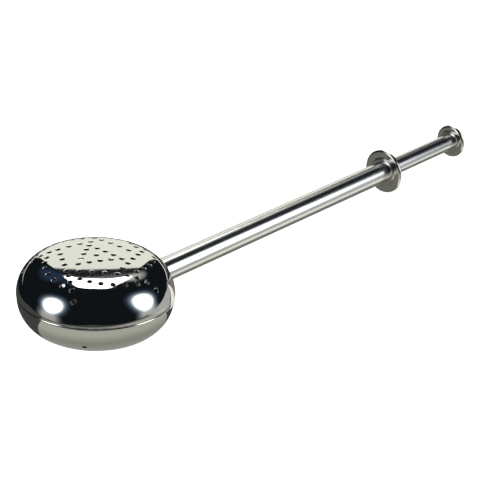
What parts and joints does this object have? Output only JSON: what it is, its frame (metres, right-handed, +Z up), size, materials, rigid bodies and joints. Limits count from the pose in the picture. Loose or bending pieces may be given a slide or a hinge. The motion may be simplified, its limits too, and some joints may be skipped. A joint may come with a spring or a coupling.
{
  "type": "tea infuser",
  "caption": "Hand-held tea infuser: a flattened, perforated, split ball on a tubular handle; a sprung thumb plunger slides the bowl out from under the upper shell.",
  "frame": {"origin": "on the table, under the middle of the bounding box, with the infuser at rest on its bowl and its finger collar", "axes": "+X along the handle towards the thumb disc, +Y across, +Z up from the table"},
  "size_m": [0.211, 0.05, 0.0272],
  "materials": {
    "ball_steel": "mirror-polished stainless steel sheet",
    "handle_steel": "bright drawn stainless tube, polished lengthwise",
    "turned_steel": "turned and lightly polished stainless",
    "inner_steel": "plain stainless, satin",
    "spring_steel": "drawn stainless spring wire",
    "bush_plastic": "natural acetal"
  },
  "bodies": {
    "handle": {"upper_shell": "ball_steel", "handle_saddle": "inner_steel", "handle_tube": "handle_steel", "front_bush": "bush_plastic", "spring_seat": "inner_steel", "guide_bush": "bush_plastic", "finger_collar": "turned_steel", "return_spring": "spring_steel"},
    "plunger": {"plunger_tube": "handle_steel", "plunger_plug": "bush_plastic", "push_rod": "inner_steel", "disc_plug": "turned_steel", "thumb_disc": "turned_steel", "bowl_bracket": "inner_steel", "rod_nut": "inner_steel", "lower_bowl": "ball_steel"}
  },
  "joints": [
    {"name": "plunger_slide", "type": "slide", "parent": "handle", "child": "plunger", "axis": [-0.9998, 0, 0.0184], "range_m": [0, 0.038], "stiffness_N_per_m": 194, "springref_m": -0.0056, "deforming": ["return_spring"]}
  ]
}
